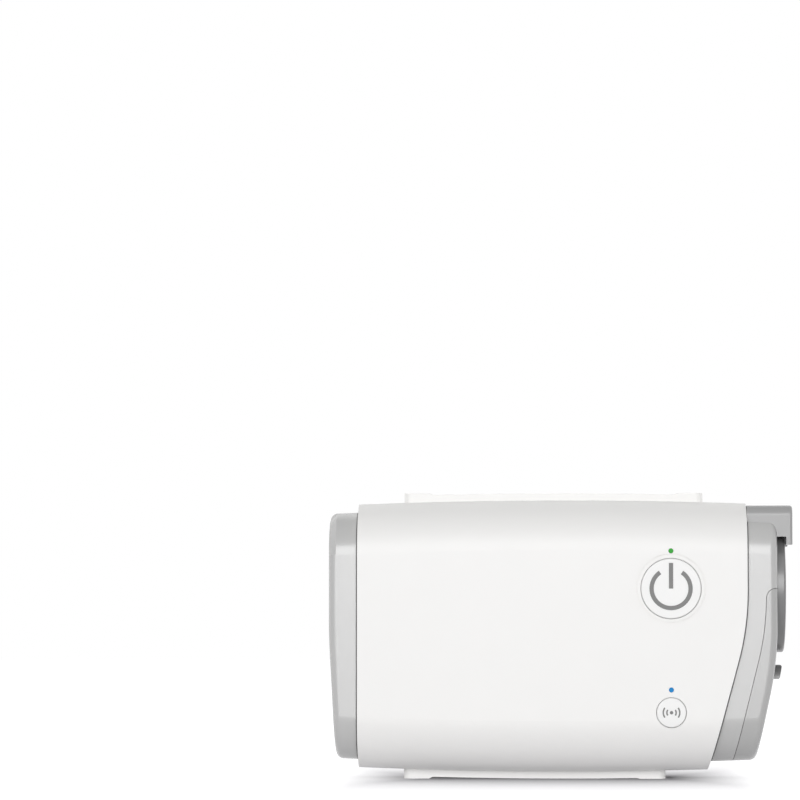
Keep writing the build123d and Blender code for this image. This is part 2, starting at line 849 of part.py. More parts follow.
def lamp(z, name):
    """A light-emitting diode on the board and the light pipe in front of it."""
    with BuildPart() as diode:
        with BuildSketch(facing(board_front, button_x, z)):
            Rectangle(led_size, led_size / 2)
        extrude(amount=lamp_depth)
    save(diode, f"{name}_led")
    pipe_back, flange_back = board_front - lamp_depth - fit, -inner_y + flange_height
    with BuildPart() as pipe:
        add(within(outer_form, rod(button_x, z, lamp_radius, -half_depth, pipe_back)))
        add(within(inner_form, rod(button_x, z, lamp_radius + lamp_flange, -half_depth, flange_back)))
    save(pipe, f"{name}_light_pipe")


lamp(power_lamp_z, "green")
lamp(wireless_lamp_z, "blue")


# ---------------------------------------------------------------- inner frame and board
def blower_places():
    """Centres of the blower's mounts."""
    angles = [radians(a) for a in blower_posts_at]
    return [(blower_x + blower_post_circle * cos(a), blower_z + blower_post_circle * sin(a)) for a in angles]


def plate(left, right, low, high, corner, back, thickness):
    """Upright plate with rounded corners, square to the depth."""
    with BuildPart() as sheet:
        with BuildSketch(facing(back, (left + right) / 2, (low + high) / 2)):
            RectangleRounded(right - left, high - low, corner)
        extrude(amount=thickness)
    return sheet.part


with BuildPart() as chassis:
    add(plate(chassis_left, chassis_right, chassis_low, chassis_high, chassis_round, chassis_back,
              chassis_thickness))
    for x, z in casing_posts:
        add(rod(x, z, rear_post_radius, chassis_front, chassis_back))
        add(rod(x, z, screw_radius + fit, chassis_front, chassis_back), mode=Mode.SUBTRACT)
    for x, z in board_screw_places:
        add(rod(x, z, standoff_radius, board_back, chassis_back))
        add(rod(x, z, board_screw_radius, board_back, chassis_back), mode=Mode.SUBTRACT)
    for x, z in blower_places():
        add(rod(x, z, grommet_neck, chassis_back, ear_front - grommet_flange))
        add(rod(x, z, blower_screw_radius, chassis_front, ear_front), mode=Mode.SUBTRACT)
    # opening behind the motor for its connector
    add(rod(blower_x, blower_z, motor_radius - 2, chassis_front - 1, chassis_back + 1), mode=Mode.SUBTRACT)
save(chassis, "chassis")

with BuildPart() as main_board:
    add(plate(board_left, board_right, board_low, board_high, board_round, board_back, board_thickness))
    for x, z in casing_posts:
        add(rod(x, z, rear_post_radius + 0.5, board_front - 1, board_back + 1), mode=Mode.SUBTRACT)
    for x, z in board_screw_places:
        add(rod(x, z, board_screw_radius + fit, board_front - 1, board_back + 1), mode=Mode.SUBTRACT)
save(main_board, "main_board")

Chip = namedtuple("Chip", "width height thickness right up")  # placed from the board's lower left corner
chips = [
    Chip(12.0, 12.0, 1.2, 22.0, 29.4),
    Chip(7.0, 7.0, 1.0, 40.0, 36.4),
    Chip(5.0, 8.0, 1.6, 10.0, 22.4),
    Chip(10.0, 6.0, 2.0, 38.0, 12.4),
    Chip(4.0, 4.0, 1.0, 26.0, 46.4),
]
with BuildPart() as board_chips:
    for chip in chips:
        with BuildSketch(facing(board_front, board_left + chip.right, board_low + chip.up)):
            Rectangle(chip.width, chip.height)
        extrude(amount=chip.thickness)
save(board_chips, "board_chips")


def screw(x, z, radius, tip, seat, head, height):
    """Pan-head screw with a crossed recess; a negative height turns its head to the front."""
    top = seat + height
    with BuildPart() as one:
        add(rod(x, z, radius, min(tip, seat), max(tip, seat)))
        add(rod(x, z, head, min(seat, top), max(seat, top)))
        with BuildSketch(facing(top, x, z)):
            Rectangle(head, head / 4)
            Rectangle(head / 4, head)
        extrude(amount=recess_depth if height > 0 else -recess_depth, mode=Mode.SUBTRACT)
    return one.part


with BuildPart() as board_screws:
    for x, z in board_screw_places:
        add(screw(x, z, board_screw_radius, chassis_back, board_front, board_head_radius, -board_head_height))
save(board_screws, "board_screws")


# ---------------------------------------------------------------- blower
def scroll_point(turn, inset):
    """Point of the scroll's wall after this much turn from the tongue."""
    radius = scroll_start + (duct_high - scroll_start) * turn / scroll_turn - inset
    angle = radians(tongue_angle - turn)
    return (radius * cos(angle), radius * sin(angle))


def scroll_block(inset, front, rear):
    """Solid of the scroll's outline: a widening spiral that runs out into the duct."""
    stations = [scroll_turn * i / 8 for i in range(9)]
    with BuildPart() as block:
        with BuildSketch(facing(rear, blower_x, blower_z)):
            with BuildLine():
                spiral = Spline([scroll_point(turn, inset) for turn in stations])
                Line(spiral @ 1, (scroll_exit, duct_high - inset))
                Line((scroll_exit, duct_high - inset), (scroll_exit, duct_low + inset))
                lip = ((spiral @ 0).X + inset, duct_low + inset)
                Line((scroll_exit, duct_low + inset), lip)
                Line(lip, spiral @ 0)
            make_face()
        extrude(amount=rear - front)
    return block.part


def blower_rod(radius, front, rear):
    """Round solid on the blower's shaft line."""
    return rod(blower_x, blower_z, radius, front, rear)


scroll_room = scroll_block(scroll_wall, scroll_front + scroll_wall, scroll_back - scroll_wall)
exit_x = blower_x + scroll_exit
duct_width = scroll_back - scroll_front
duct_height = duct_high - duct_low
duct_y = (scroll_front + scroll_back) / 2


def duct_box(inset, left, right):
    """Rectangular length of the duct."""
    with BuildPart() as box:
        with BuildSketch(across(left, port_z, duct_y)):
            Rectangle(duct_width - 2 * inset, duct_height - 2 * inset)
        extrude(amount=right - left)
    return box.part


with BuildPart() as scroll_front_half:
    add(scroll_block(0, scroll_front, scroll_split))
    # ears for the soft mounts
    for angle in blower_posts_at:
        with BuildSketch(facing(ear_back, blower_x, blower_z)):
            with PolarLocations(blower_post_circle / 2, 1, start_angle=angle):
                Rectangle(blower_post_circle, 2 * ear_radius)
            with PolarLocations(blower_post_circle, 1, start_angle=angle):
                Circle(ear_radius)
                Circle(grommet_neck, mode=Mode.SUBTRACT)
        extrude(amount=ear_thickness)
    add(blower_rod(bearing_radius + bearing_seat, scroll_front - bearing_width, scroll_front))
    add(scroll_room, mode=Mode.SUBTRACT)
    add(duct_box(scroll_wall, exit_x - 1, exit_x + 1), mode=Mode.SUBTRACT)
    add(blower_rod(bearing_radius, scroll_front - bearing_width, scroll_front), mode=Mode.SUBTRACT)
    add(blower_rod(2 * shaft_radius, scroll_front - 1, scroll_front + 2 * scroll_wall), mode=Mode.SUBTRACT)
save(scroll_front_half, "scroll_front_half")

with BuildPart() as scroll_rear_half:
    add(scroll_block(0, scroll_split, scroll_back))
    add(blower_rod(eye_radius + eye_rim, scroll_back, scroll_back + eye_rim_height))
    add(scroll_room, mode=Mode.SUBTRACT)
    add(duct_box(scroll_wall, exit_x - 1, exit_x + 1), mode=Mode.SUBTRACT)
    add(blower_rod(eye_radius, scroll_back - 2 * scroll_wall, scroll_back + 2), mode=Mode.SUBTRACT)
    rear_circles = scroll_rear_half.edges().filter_by(GeomType.CIRCLE).group_by(Axis.Y)[-1]
    fillet(rear_circles.sort_by(SortBy.RADIUS)[0], eye_round)
save(scroll_rear_half, "scroll_rear_half")

disc_front = scroll_front + scroll_wall + disc_gap
blade_front = disc_front + disc_thickness
blade_rear = blade_front + blade_height
blade_tip = impeller_radius - blade_overhang
blade_middle = (blade_inner + blade_tip) / 2
with BuildSketch() as blade:
    with BuildLine():
        ThreePointArc(
            (blade_inner, 0),
            (blade_middle * cos(blade_lag / 3), blade_middle * sin(blade_lag / 3)),
            (blade_tip * cos(blade_lag), blade_tip * sin(blade_lag)),
        )
    trace(line_width=blade_thickness)


def nose():
    """Domed hub on the shaft."""
    with BuildPart() as dome:
        add(blower_rod(hub_nose_radius, blade_front, blade_front + hub_height))
        fillet(dome.edges().group_by(Axis.Y)[-1], hub_nose_radius * 0.6)
    return dome.part


with BuildPart() as impeller:
    add(blower_rod(impeller_radius, disc_front, blade_front))
    add(blower_rod(impeller_radius, blade_rear, blade_rear + disc_thickness))
    add(blower_rod(eye_radius, blade_rear, blade_rear + disc_thickness), mode=Mode.SUBTRACT)
    with BuildSketch(facing(blade_rear, blower_x, blower_z)):
        with PolarLocations(0, blade_count):
            add(blade.sketch)
    extrude(amount=blade_height)
    add(nose())
    add(blower_rod(shaft_radius, disc_front, shaft_back), mode=Mode.SUBTRACT)
save(impeller, "impeller")

bearing_front = motor_front + can_wall
with BuildPart() as motor_shaft:
    add(blower_rod(shaft_radius, bearing_front + fit, shaft_back))
save(motor_shaft, "motor_shaft")

magnet_back = (bearing_front + bearing_width + scroll_front - bearing_width + magnet_length) / 2
magnet_front = magnet_back - magnet_length
with BuildPart() as rotor_magnet:
    add(blower_rod(rotor_radius, magnet_front, magnet_back))
    add(blower_rod(shaft_radius, magnet_front, magnet_back), mode=Mode.SUBTRACT)
save(rotor_magnet, "rotor_magnet")

with BuildPart() as motor_can:
    add(blower_rod(motor_radius, motor_front, scroll_front))
    add(blower_rod(motor_radius - can_wall, bearing_front, scroll_front), mode=Mode.SUBTRACT)
    add(blower_rod(bearing_radius + can_wall, bearing_front, bearing_front + bearing_width))
    add(blower_rod(bearing_radius, bearing_front, bearing_front + bearing_width), mode=Mode.SUBTRACT)
save(motor_can, "motor_can")

with BuildPart() as motor_bearings:
    for front in (bearing_front, scroll_front - bearing_width):
        add(blower_rod(bearing_radius, front, front + bearing_width))
        add(blower_rod(shaft_radius + running, front, front + bearing_width), mode=Mode.SUBTRACT)
save(motor_bearings, "motor_bearings")

core_outer = motor_radius - can_wall
core_inner = rotor_radius + air_gap
tooth_root = core_outer - yoke_thickness
with BuildPart() as stator_core:
    with BuildSketch(facing(magnet_back, blower_x, blower_z)):
        Circle(core_outer)
        Circle(tooth_root, mode=Mode.SUBTRACT)
        with PolarLocations((core_inner + tooth_root + tooth_bite) / 2, stator_teeth):
            Rectangle(tooth_root + tooth_bite - core_inner, tooth_width)
        Circle(core_inner, mode=Mode.SUBTRACT)
    extrude(amount=magnet_length)
save(stator_core, "stator_core")

with BuildPart() as stator_coils:
    coil_inner = core_inner + coil_shoulder
    with BuildSketch(facing(magnet_back + coil_overhang, blower_x, blower_z)):
        with PolarLocations((coil_inner + tooth_root) / 2, stator_teeth):
            RectangleRounded(tooth_root - coil_inner, tooth_width + 2 * coil_build, coil_build / 2)
    extrude(amount=magnet_length + 2 * coil_overhang)
    add(stator_core.part, mode=Mode.SUBTRACT)
save(stator_coils, "stator_coils")

with BuildPart() as motor_connector:
    with BuildSketch(facing(motor_front, blower_x, blower_z)):
        RectangleRounded(plug_width, plug_height, plug_height / 6)
    extrude(amount=motor_front - board_back)
save(motor_connector, "motor_connector")

grommet_back = ear_back + grommet_flange
with BuildPart() as blower_mounts:
    for x, z in blower_places():
        add(rod(x, z, grommet_neck, ear_front, ear_back))
        add(rod(x, z, ear_radius, ear_front - grommet_flange, ear_front))
        add(rod(x, z, ear_radius, ear_back, grommet_back))
        add(rod(x, z, blower_screw_radius, ear_front - grommet_flange, grommet_back), mode=Mode.SUBTRACT)
save(blower_mounts, "blower_mounts")

with BuildPart() as blower_screws:
    for x, z in blower_places():
        tip, seat = chassis_back, grommet_back
        add(screw(x, z, blower_screw_radius, tip, seat, blower_head_radius, blower_head_height))
save(blower_screws, "blower_screws")


# ---------------------------------------------------------------- outlet path
sleeve_left = exit_x - coupling_length / 2
sleeve_right = exit_x + coupling_length / 2
duct_start = exit_x + 1.0
duct_end = hub_inner_x - seal_thickness
with BuildPart() as duct_coupling:
    add(duct_box(-coupling_wall, sleeve_left, sleeve_right))
    for x in (sleeve_left, exit_x - coupling_rib / 2, sleeve_right - coupling_rib):
        add(duct_box(-2 * coupling_wall, x, x + coupling_rib))
    add(duct_box(0, sleeve_left, sleeve_right), mode=Mode.SUBTRACT)
save(duct_coupling, "duct_coupling")


def duct_form(inset):
    """Rectangular start that turns into the round outlet."""
    with BuildPart() as tube:
        add(duct_box(inset, duct_start, sleeve_right))
        with BuildSketch(across(sleeve_right, port_z, duct_y)):
            RectangleRounded(duct_width - 2 * inset, duct_height - 2 * inset, duct_round)
        with BuildSketch(across(duct_end, port_z)):
            Circle(bore_radius + duct_wall - inset)
        loft()
    return tube.part


with BuildPart() as outlet_duct:
    add(duct_form(0))
    add(duct_form(duct_wall), mode=Mode.SUBTRACT)
save(outlet_duct, "outlet_duct")

with BuildPart() as outlet_seal:
    add(barrel_along(port_z, hub_radius, duct_end, hub_inner_x))
    add(barrel_along(port_z, bore_radius, duct_end, hub_inner_x), mode=Mode.SUBTRACT)
save(outlet_seal, "outlet_seal")

with BuildPart() as pressure_sensor:
    with BuildSketch(across(hub_inner_x + 1, port_z + hub_radius + 1)):
        Rectangle(sensor_depth, sensor_height)
    extrude(amount=sensor_length)
    add(barrel_along(port_z, hub_radius, hub_inner_x, outside), mode=Mode.SUBTRACT)
save(pressure_sensor, "pressure_sensor")

with BuildPart() as socket_board:
    with BuildSketch(across(socket_back - socket_base - socket_board_thickness, socket_z)):
        RectangleRounded(socket_board_size, socket_board_size, 1)
    extrude(amount=socket_board_thickness)
save(socket_board, "socket_board")

foam_left = frame_x + frame_thickness
foam_right = post_left_x - rear_post_radius - 1
with BuildPart() as muffler_foam:
    add(within(form(clip_inner_inset + 2 * clip_clearance), slab(upright(foam_left), upright(foam_right))))
    for z in (mid_z - slot_length / 2, mid_z + slot_length / 2):
        add(barrel_along(z, muffler_bore, foam_left - 1, foam_right + 1), mode=Mode.SUBTRACT)
save(muffler_foam, "muffler_foam")
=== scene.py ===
"""Looks of the travel CPAP machine: finishes, printed symbols, studio and camera."""

import logging
import math
from dataclasses import dataclass, field
from enum import Enum
from typing import Callable, Optional, Sequence, Union

import bmesh
import bpy
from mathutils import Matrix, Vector


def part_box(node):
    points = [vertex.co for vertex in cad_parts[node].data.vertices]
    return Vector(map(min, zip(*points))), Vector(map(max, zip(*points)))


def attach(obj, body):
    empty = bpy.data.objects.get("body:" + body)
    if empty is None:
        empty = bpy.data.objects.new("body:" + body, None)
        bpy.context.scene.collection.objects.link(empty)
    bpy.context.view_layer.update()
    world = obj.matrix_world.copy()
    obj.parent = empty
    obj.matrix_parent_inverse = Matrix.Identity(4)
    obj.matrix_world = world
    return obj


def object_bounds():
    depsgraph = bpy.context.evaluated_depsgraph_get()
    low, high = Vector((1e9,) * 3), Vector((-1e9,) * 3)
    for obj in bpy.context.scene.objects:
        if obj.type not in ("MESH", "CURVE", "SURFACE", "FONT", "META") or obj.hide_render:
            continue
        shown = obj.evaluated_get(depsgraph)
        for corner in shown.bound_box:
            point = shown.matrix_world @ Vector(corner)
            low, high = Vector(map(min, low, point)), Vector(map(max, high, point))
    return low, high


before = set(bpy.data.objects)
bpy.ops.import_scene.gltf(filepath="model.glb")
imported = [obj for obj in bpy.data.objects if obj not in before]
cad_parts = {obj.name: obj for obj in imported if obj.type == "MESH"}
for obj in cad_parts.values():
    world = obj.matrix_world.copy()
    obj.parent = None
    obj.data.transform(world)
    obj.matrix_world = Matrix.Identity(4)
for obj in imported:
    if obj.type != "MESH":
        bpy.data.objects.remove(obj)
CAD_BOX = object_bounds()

LOG = logging.getLogger("cpap")
MM = 0.001
TURN = 360.0  # degrees
UPRIGHT = 90.0  # degrees, anticlockwise from the right
WHITE = (1.0, 1.0, 1.0)
MIX_FACTOR, MIX_FIRST, MIX_SECOND, MIX_RESULT = 0, 6, 7, 2  # a Mix node's sockets for colours
Color = tuple[float, float, float]
Point = tuple[float, float, float]
Span = tuple[float, float]
Socket = bpy.types.NodeSocket
Value = Union[Socket, float, Sequence[float]]


class Body(Enum):
    """Rigid bodies that the printed symbols ride on."""

    POWER_KEY = "power_key"
    WIRELESS_KEY = "wireless_key"


@dataclass(frozen=True)
class Noise:
    """A soft noise: the size of its spots in metres and its number of finer layers."""

    size: float
    layers: float = 2.0


class Grain(Enum):
    """Surface grains, as their noise and their depth in metres."""

    POLISHED = (Noise(1.2 * MM), 0.004 * MM)
    FINE_SPARK = (Noise(0.22 * MM), 0.008 * MM)
    COARSE_SPARK = (Noise(0.4 * MM), 0.02 * MM)
    CAST_RUBBER = (Noise(0.3 * MM), 0.025 * MM)


def shade(color: Color, factor: float) -> Color:
    """The same colour, darker or lighter."""
    return tuple(min(1.0, part * factor) for part in color)


# ---------------------------------------------------------------- node sheets
class NodeSheet:
    """A node tree that starts empty, with short calls for adding and joining nodes."""

    def __init__(self, tree: bpy.types.NodeTree) -> None:
        """Clears the tree.

        Args:
            tree: node tree of a material or of the world.
        """
        self.tree = tree
        tree.nodes.clear()

    def feed(self, target: Socket, value: Value) -> None:
        """Links a socket or sets a plain value.

        Args:
            target: the input that is fed.
            value: an output socket, a number, or a colour of three or four parts.
        """
        if isinstance(value, bpy.types.NodeSocket):
            self.tree.links.new(value, target)
        elif isinstance(value, (tuple, list)) and len(value) == 3 and len(target.default_value) == 4:
            target.default_value = (*value, 1.0)
        else:
            target.default_value = value

    def add(self, kind: str, inputs: Optional[dict[Union[str, int], Value]] = None,
            **settings: str) -> bpy.types.Node:
        """Adds a node.

        Args:
            kind: the node's type, without the word ShaderNode.
            inputs: values or sockets for its inputs, by their names or numbers.
            settings: the node's own settings, such as its operation.

        Returns:
            The node.
        """
        node = self.tree.nodes.new("ShaderNode" + kind)
        for name, setting in settings.items():
            setattr(node, name, setting)
        for key, value in (inputs or {}).items():
            self.feed(node.inputs[key], value)
        return node

    def math(self, operation: str, *values: Union[Socket, float]) -> Socket:
        """Works out one sum over sockets and numbers."""
        return self.add("Math", dict(enumerate(values)), operation=operation).outputs[0]

    def span(self, source: Socket, low: float, high: float) -> Socket:
        """Spreads a factor of 0 to 1 over low to high."""
        return self.add("MapRange", {"Value": source, "To Min": low, "To Max": high}).outputs[0]


class StudioSheet(NodeSheet):
    """The node sheet of the floor or of the surroundings."""

    def seen(self) -> Socket:
        """One for what the camera, a reflection or a clear material sees, and zero for light."""
        rays = self.add("LightPath").outputs
        direct = self.math("MAXIMUM", rays["Is Camera Ray"], rays["Is Glossy Ray"])
        return self.math("MAXIMUM", direct, rays["Is Transmission Ray"])


class ShaderSheet(NodeSheet):
    """An object material's node sheet, with the patterns that the finishes share."""

    def __init__(self, name: str) -> None:
        """Makes a material with a Principled shader and its output.

        Args:
            name: the material's name.
        """
        self.material = bpy.data.materials.new(name)
        self.material.use_nodes = True
        super().__init__(self.material.node_tree)
        self.shader = self.add("BsdfPrincipled")
        self.add("OutputMaterial", {"Surface": self.shader.outputs[0]})
        self.place = self.add("TexCoord").outputs["Object"]

    def squeezed(self, scale: Point) -> Socket:
        """The object's coordinates, which squeeze a pattern by a factor along each axis."""
        return self.add("Mapping", {"Vector": self.place, "Scale": scale}).outputs[0]

    def noise(self, noise: Noise, place: Optional[Socket] = None) -> Socket:
        """Lays out a noise.

        Args:
            noise: its size and layers.
            place: coordinates to use in place of the object's own.

        Returns:
            The noise's factor, from 0 to 1.
        """
        inputs = {"Vector": place or self.place, "Scale": 1.0 / noise.size, "Detail": noise.layers}
        return self.add("TexNoise", inputs).outputs["Fac"]

    def cells(self, size: float, smooth: float = 0.4) -> Socket:
        """Rounded cells about size metres across, as a distance from their middles."""
        inputs = {"Vector": self.place, "Scale": 1.0 / size, "Smoothness": smooth}
        return self.add("TexVoronoi", inputs, feature="SMOOTH_F1").outputs["Distance"]

    def tint(self, factor: Socket, color: Color, shades: Span) -> Socket:
        """One colour that a factor takes from the first of its shades to the second."""
        first, second = (shade(color, each) for each in shades)
        inputs = {MIX_FACTOR: factor, MIX_FIRST: first, MIX_SECOND: second}
        return self.add("Mix", inputs, data_type="RGBA").outputs[MIX_RESULT]

    def gloss(self, factor: Socket, roughness: float, swing: Span) -> Socket:
        """A roughness that a factor takes from the first end of its swing to the second."""
        return self.span(factor, roughness + swing[0], roughness + swing[1])

    def relief(self, height: Socket, depth: float, below: Optional[Socket] = None) -> Socket:
        """A bump of this depth in metres, laid over another where one is given."""
        inputs = {"Height": height, "Distance": depth, "Strength": 1.0}
        if below is not None:
            inputs["Normal"] = below
        return self.add("Bump", inputs).outputs[0]

    def grained(self, grain: Grain) -> Socket:
        """The relief of a surface grain."""
        noise, depth = grain.value
        return self.relief(self.noise(noise), depth)


# ---------------------------------------------------------------- finishes
@dataclass(frozen=True)
class Finish:
    """A named material with one main colour."""

    name: str
    color: Color

    def look(self, sheet: ShaderSheet) -> dict[str, Value]:
        """Lays out the finish's patterns.

        Args:
            sheet: the node sheet that they go on.

        Returns:
            Values or sockets for the shader's inputs, by their names.
        """
        raise NotImplementedError

    def material(self) -> bpy.types.Material:
        """Makes the material."""
        sheet = ShaderSheet(self.name)
        for name, value in self.look(sheet).items():
            sheet.feed(sheet.shader.inputs[name], value)
        return sheet.material


@dataclass(frozen=True)
class Moulding(Finish):
    """Moulded plastic: a faint cloudiness, a spark-eroded grain and an uneven gloss."""

    roughness: float = 0.45
    grain: Grain = Grain.FINE_SPARK
    cloud: float = 0.02
    specular: float = 0.5
    swing: float = 0.045
    clouds: Noise = Noise(18 * MM, 3.0)
    spots: Noise = Noise(4 * MM, 4.0)

    def look(self, sheet: ShaderSheet) -> dict[str, Value]:
        """Wide clouds in the colour, smaller spots in the gloss, and the grain."""
        shades = (1 - self.cloud, 1 + self.cloud)
        swing = (-self.swing, self.swing)
        return {
            "Base Color": sheet.tint(sheet.noise(self.clouds), self.color, shades),
            "Roughness": sheet.gloss(sheet.noise(self.spots), self.roughness, swing),
            "Normal": sheet.grained(self.grain),
            "Specular IOR Level": self.specular,
        }


@dataclass(frozen=True)
class Metal(Finish):
    """Bare or plated metal, with fine lines where its noise is squeezed along one axis."""

    roughness: float = 0.3
    squeeze: Point = (1.0, 1.0, 12.0)
    lines: Noise = Noise(1.2 * MM, 4.0)
    depth: float = 0.01 * MM
    shades: Span = (0.9, 1.08)
    swing: Span = (-0.07, 0.1)

    def look(self, sheet: ShaderSheet) -> dict[str, Value]:
        """Lines in the colour, the gloss and the relief."""
        lines = sheet.noise(self.lines, sheet.squeezed(self.squeeze))
        return {
            "Base Color": sheet.tint(lines, self.color, self.shades),
            "Roughness": sheet.gloss(lines, self.roughness, self.swing),
            "Normal": sheet.relief(lines, self.depth),
            "Metallic": 1.0,
        }


@dataclass(frozen=True)
class Foam(Finish):
    """Open-cell foam or felt: small pores in a soft body, darkened into their pits as painted shade.

    The sizes of the fuzz over the pores are parts of a cell's size and depth.
    """

    cell: float = 0.9 * MM
    depth: float = 0.4 * MM
    sheen: float = 0.3
    roughness: float = 0.95
    shades: Span = (1.1, 0.55)
    fuzz_size: float = 0.4
    fuzz_depth: float = 0.3
    fuzz_layers: float = 4.0

    def look(self, sheet: ShaderSheet) -> dict[str, Value]:
        """Pores in the relief, their colour darkened into the pits as painted shade, with fuzz over them.
        """
        pores = sheet.cells(self.cell)
        pits = sheet.relief(pores, -self.depth)
        fuzz = sheet.noise(Noise(self.cell * self.fuzz_size, self.fuzz_layers))
        return {
            # Painted shade: the colour darkens into the pores' pits.
            "Base Color": sheet.tint(pores, self.color, self.shades),
            "Roughness": self.roughness,
            "Normal": sheet.relief(fuzz, self.depth * self.fuzz_depth, pits),
            "Sheen Weight": self.sheen,
        }


@dataclass(frozen=True)
class Rubber(Finish):
    """Cast rubber or silicone, with a dusty, uneven gloss."""

    roughness: float = 0.7
    sheen: float = 0.2
    dust: Noise = Noise(3 * MM, 5.0)
    shades: Span = (0.93, 1.07)
    swing: Span = (-0.06, 0.08)

    def look(self, sheet: ShaderSheet) -> dict[str, Value]:
        """Dust in the colour and the gloss, and a cast grain."""
        dust = sheet.noise(self.dust)
        return {
            "Base Color": sheet.tint(dust, self.color, self.shades),
            "Roughness": sheet.gloss(dust, self.roughness, self.swing),
            "Normal": sheet.grained(Grain.CAST_RUBBER),
            "Sheen Weight": self.sheen,
        }


@dataclass(frozen=True)
class Lens(Finish):
    """Coloured light pipe or diode with a faint inner glow."""

    glow: float
    roughness: float = 0.4
    specular: float = 0.1
    spots: Noise = Noise(0.6 * MM)
    shades: Span = (0.85, 1.15)
    swing: Span = (-0.06, 0.06)

    def look(self, sheet: ShaderSheet) -> dict[str, Value]:
        """Uneven colour that also glows."""
        spots = sheet.noise(self.spots)
        color = sheet.tint(spots, self.color, self.shades)
        return {
            "Base Color": color,
            "Roughness": sheet.gloss(spots, self.roughness, self.swing),
            "Emission Color": color,
            "Emission Strength": self.glow,
            "Specular IOR Level": self.specular,
        }


@dataclass(frozen=True)
class Circuit(Finish):
    """Solder mask over a pattern of copper tracks."""

    patches_per_metre: float = 220.0
    track_width: float = 0.012
    shades: Span = (1.3, 2.2)
    depth: float = 0.03 * MM
    spots: Noise = Noise(2 * MM)
    gloss_range: Span = (0.28, 0.4)

    def look(self, sheet: ShaderSheet) -> dict[str, Value]:
        """Patches of mask with raised tracks between them."""
        patch, track = (shade(self.color, each) for each in self.shades)
        bricks = sheet.add("TexBrick", {
            "Vector": sheet.place,
            "Scale": self.patches_per_metre,
            "Mortar Size": self.track_width,
            "Color1": self.color,
            "Color2": patch,
            "Mortar": track,
        }).outputs
        return {
            "Base Color": bricks["Color"],
            "Roughness": sheet.span(sheet.noise(self.spots), *self.gloss_range),
            "Normal": sheet.relief(bricks["Fac"], -self.depth),
        }


@dataclass(frozen=True)
class Winding(Finish):
    """Enamelled copper wire, wound in close turns across the tooth."""

    wave_scale: float = 125.0
    distortion: float = 1.5
    shades: Span = (0.6, 1.15)
    depth: float = 0.1 * MM
    spots: Noise = Noise(2 * MM)
    gloss_range: Span = (0.25, 0.4)
    metallic: float = 0.8

    def look(self, sheet: ShaderSheet) -> dict[str, Value]:
        """Turns in the relief, with painted shade in the grooves and painted highlight on the crests."""
        inputs = {"Vector": sheet.place, "Scale": self.wave_scale, "Distortion": self.distortion}
        turns = sheet.add("TexWave", inputs, wave_type="RINGS", rings_direction="Y").outputs["Fac"]
        return {
            # Painted shade in the grooves between turns and painted highlight on their crests, following
            # the relief.
            "Base Color": sheet.tint(turns, self.color, self.shades),
            "Roughness": sheet.span(sheet.noise(self.spots), *self.gloss_range),
            "Normal": sheet.relief(turns, self.depth),
            "Metallic": self.metallic,
        }


WHITE_CASING = Moulding("white_casing", (0.89, 0.885, 0.87), 0.42, cloud=0.006)
WHITE_BUTTON = Moulding("white_button", (0.89, 0.89, 0.88), 0.4, cloud=0.006)
GRAY_CAP = Moulding("gray_cap", (0.50, 0.50, 0.495), 0.24, cloud=0.01, specular=0.85)
PANEL_GRAY = Moulding("panel_gray", (0.43, 0.43, 0.425), 0.24, cloud=0.01, specular=0.85)
SILVER_TRIM = Moulding("silver_trim", (0.35, 0.35, 0.35), 0.27, cloud=0.012, swing=0.01)
COLLAR_GRAY = Moulding("collar_gray", (0.18, 0.18, 0.18), 0.3, cloud=0.015, specular=0.8)
INNER_PLASTIC = Moulding("inner_plastic", (0.20, 0.205, 0.215), 0.55, Grain.COARSE_SPARK, 0.04)
BLOWER_PLASTIC = Moulding("blower_plastic", (0.10, 0.105, 0.11), 0.5, Grain.COARSE_SPARK, 0.05)
IMPELLER_PLASTIC = Moulding("impeller_plastic", (0.78, 0.79, 0.81), 0.3, Grain.POLISHED)
BLACK_PLASTIC = Moulding("black_plastic", (0.02, 0.02, 0.022), 0.3, cloud=0.05)
CHIP_BLACK = Moulding("chip_black", (0.018, 0.018, 0.02), 0.6, Grain.COARSE_SPARK, 0.1)
SWITCH_BODY = Moulding("switch_body", (0.03, 0.03, 0.033), 0.4, cloud=0.05)
SYMBOL_INK = Moulding("symbol_ink", (0.19, 0.19, 0.187), 0.5, Grain.POLISHED, 0.04)
DARK_STEEL = Metal("dark_screws", (0.10, 0.10, 0.105), 0.35)
ZINC_STEEL = Metal("steel_screws", (0.62, 0.62, 0.60))
GROUND_STEEL = Metal("shaft_steel", (0.60, 0.60, 0.61), 0.22, (1.0, 14.0, 1.0))
MAGNET = Metal("magnet_dark", (0.12, 0.12, 0.13), 0.45)
CAN_STEEL = Metal("motor_steel", (0.48, 0.48, 0.49), 0.32, (1.0, 16.0, 1.0))
LAMINATION = Metal("core_steel", (0.33, 0.33, 0.34), 0.42, (1.0, 30.0, 1.0))
CONTACT = Metal("contact_metal", (0.75, 0.68, 0.48), 0.25)
FEET_RUBBER = Rubber("rubber_feet", (0.16, 0.16, 0.165))
